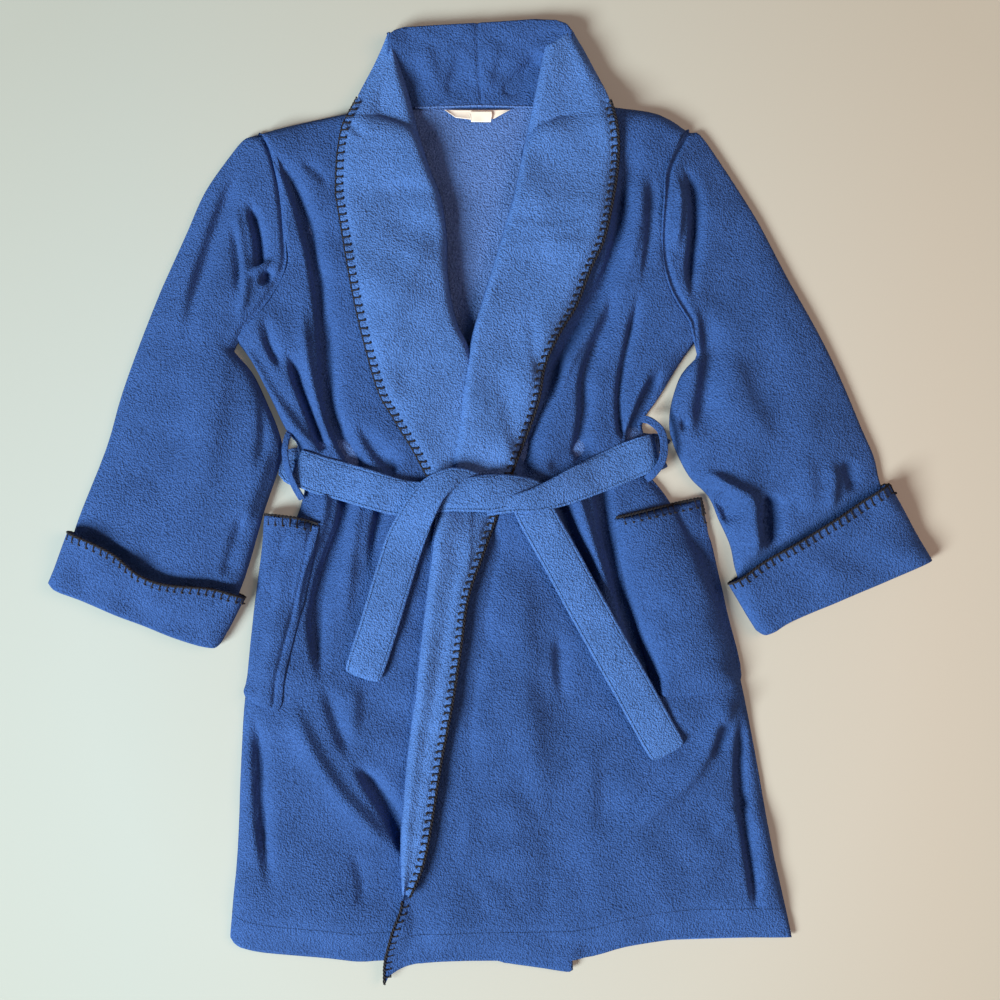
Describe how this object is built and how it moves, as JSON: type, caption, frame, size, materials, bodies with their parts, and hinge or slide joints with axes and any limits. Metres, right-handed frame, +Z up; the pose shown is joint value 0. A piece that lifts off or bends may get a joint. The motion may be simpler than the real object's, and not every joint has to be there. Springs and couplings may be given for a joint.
{
  "type": "bathrobe",
  "caption": "Blue fleece bathrobe with shawl collar, turned cuffs, patch pockets and tied belt, laid flat with the front up.",
  "frame": {"origin": "middle of the flat footprint, on the surface that the robe lies on", "axes": "+X to the right as seen from above, +Y from the hem towards the collar, +Z up out of the cloth"},
  "size_m": [0.9715, 1.0641, 0.0365],
  "materials": {
    "robe_fleece": "royal blue polyester fleece with a fine pebbled nap, matt with a soft sheen",
    "collar_fleece": "the same blue fleece, its nap turned outwards so that it is a little lighter",
    "belt_fleece": "two layers of the same blue fleece, edge-stitched",
    "black_yarn": "black twisted yarn, matt",
    "label_satin": "cream woven satin, plain"
  },
  "bodies": {
    "robe": {"back_panel": "robe_fleece", "left_front": "robe_fleece", "right_front": "robe_fleece", "back_hem": "robe_fleece", "left_front_hem": "robe_fleece", "right_front_hem": "robe_fleece", "left_side_seam": "robe_fleece", "right_side_seam": "robe_fleece", "left_shoulder_seam": "robe_fleece", "right_shoulder_seam": "robe_fleece", "neck_seam": "robe_fleece", "left_collar_stand": "collar_fleece", "right_collar_stand": "collar_fleece", "collar_fall": "collar_fleece", "left_lapel": "collar_fleece", "right_lapel": "collar_fleece", "left_lapel_stitching": "black_yarn", "right_lapel_stitching": "black_yarn", "left_front_stitching": "black_yarn", "left_sleeve_cap": "robe_fleece", "right_sleeve_cap": "robe_fleece", "left_pocket": "robe_fleece", "right_pocket": "robe_fleece", "left_pocket_stitching": "black_yarn", "right_pocket_stitching": "black_yarn", "belt_back": "belt_fleece", "belt_left_band": "belt_fleece", "belt_right_band": "belt_fleece", "belt_knot": "belt_fleece", "left_belt_loop": "robe_fleece", "right_belt_loop": "robe_fleece"},
    "left_sleeve": {"left_sleeve": "robe_fleece", "left_sleeve_seam": "robe_fleece", "left_cuff": "robe_fleece", "left_cuff_stitching": "black_yarn"},
    "right_sleeve": {"right_sleeve": "robe_fleece", "right_sleeve_seam": "robe_fleece", "right_cuff": "robe_fleece", "right_cuff_stitching": "black_yarn"},
    "belt_left_end": {"belt_left_end": "belt_fleece"},
    "belt_right_end": {"belt_right_end": "belt_fleece"},
    "neck_label": {"neck_label": "label_satin", "care_tab": "label_satin"}
  },
  "joints": [
    {"name": "left_sleeve_swing", "type": "hinge", "parent": "robe", "child": "left_sleeve", "pos_m": [-0.282, 0.181, 0.009], "axis": [0, 0, 1], "range_deg": [-20, 0]},
    {"name": "right_sleeve_swing", "type": "hinge", "parent": "robe", "child": "right_sleeve", "pos_m": [0.232, 0.185, 0.009], "axis": [0, 0, 1], "range_deg": [0, 20]},
    {"name": "belt_left_end_swing", "type": "hinge", "parent": "robe", "child": "belt_left_end", "pos_m": [-0.076, 0.004, 0.0305], "axis": [0, 0, 1], "range_deg": [-12, 3]},
    {"name": "belt_right_end_swing", "type": "hinge", "parent": "robe", "child": "belt_right_end", "pos_m": [0.046, -0.002, 0.0305], "axis": [0, 0, 1], "range_deg": [-20, 3]},
    {"name": "neck_label_flip", "type": "hinge", "parent": "robe", "child": "neck_label", "pos_m": [-0.015, 0.4344, 0.0033], "axis": [-1, 0, 0], "range_deg": [0, 80]}
  ]
}
